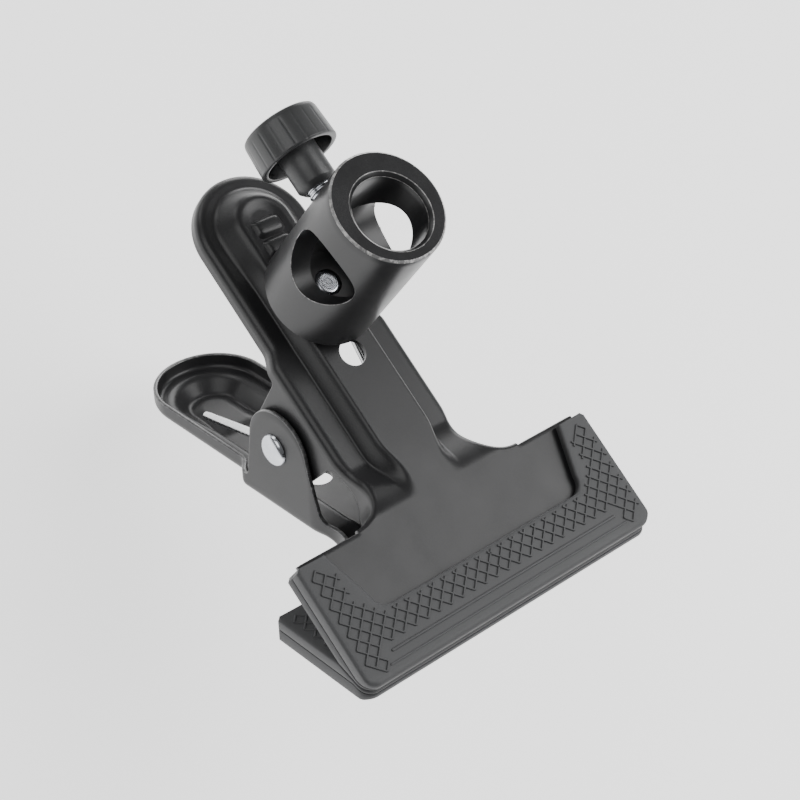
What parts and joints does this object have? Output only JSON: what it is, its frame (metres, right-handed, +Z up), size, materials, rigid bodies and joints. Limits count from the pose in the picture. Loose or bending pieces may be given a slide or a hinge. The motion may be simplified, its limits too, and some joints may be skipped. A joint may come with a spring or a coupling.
{
  "type": "spring clamp with spigot receiver",
  "caption": "Sprung steel clamp with broad padded jaws, hollow stamped handles, and a round receiver on its back whose side knob locks a lighting spigot.",
  "frame": {"origin": "where the axis of the receiver's upright bore crosses the axis of its cross bore", "axes": "+Z up the receiver's upright bore, out of its mouth; +X from the handles towards the jaw tips; +Y across the clamp, along the cross bore and the pivot"},
  "size_m": [0.1122, 0.0808, 0.1077],
  "materials": {
    "receiver_coat": "black coated steel, satin",
    "plated_steel": "bright zinc plate",
    "knob_plastic": "moulded, satin",
    "lever_coat": "black powder coat, fine texture",
    "pad_rubber": "moulded rubber, matt",
    "spring_wire": "plated spring wire"
  },
  "bodies": {
    "upper": {"upper_lever": "lever_coat", "upper_jaw_pad": "pad_rubber", "receiver": "receiver_coat", "receiver_screw": "plated_steel", "torsion_spring": "spring_wire"},
    "lower": {"lower_lever": "lever_coat", "lower_jaw_pad": "pad_rubber", "pivot_rivet": "plated_steel"},
    "lock_stud": {"clamp_stud": "plated_steel"},
    "lock_knob": {"knob": "knob_plastic"}
  },
  "joints": [
    {"name": "jaw_pivot", "type": "hinge", "parent": "upper", "child": "lower", "pos_m": [0.02, 0, -0.043], "axis": [0, 1, 0], "range_deg": [0, 55], "stiffness_Nm_per_rad": 1.2, "springref_deg": -51.57, "deforming": ["torsion_spring"]},
    {"name": "screw_advance", "type": "slide", "parent": "upper", "child": "lock_stud", "axis": [1, 0, 0], "range_m": [-0.005, 0.0015]},
    {"name": "knob_turn", "type": "hinge", "parent": "lock_stud", "child": "lock_knob", "pos_m": [-0.027, 0, 0], "axis": [1, 0, 0], "range_deg": [-1801, 541]}
  ],
  "couplings": [
    {"joint": "knob_turn", "follows": "screw_advance", "rad_per_m": 6283.2}
  ]
}
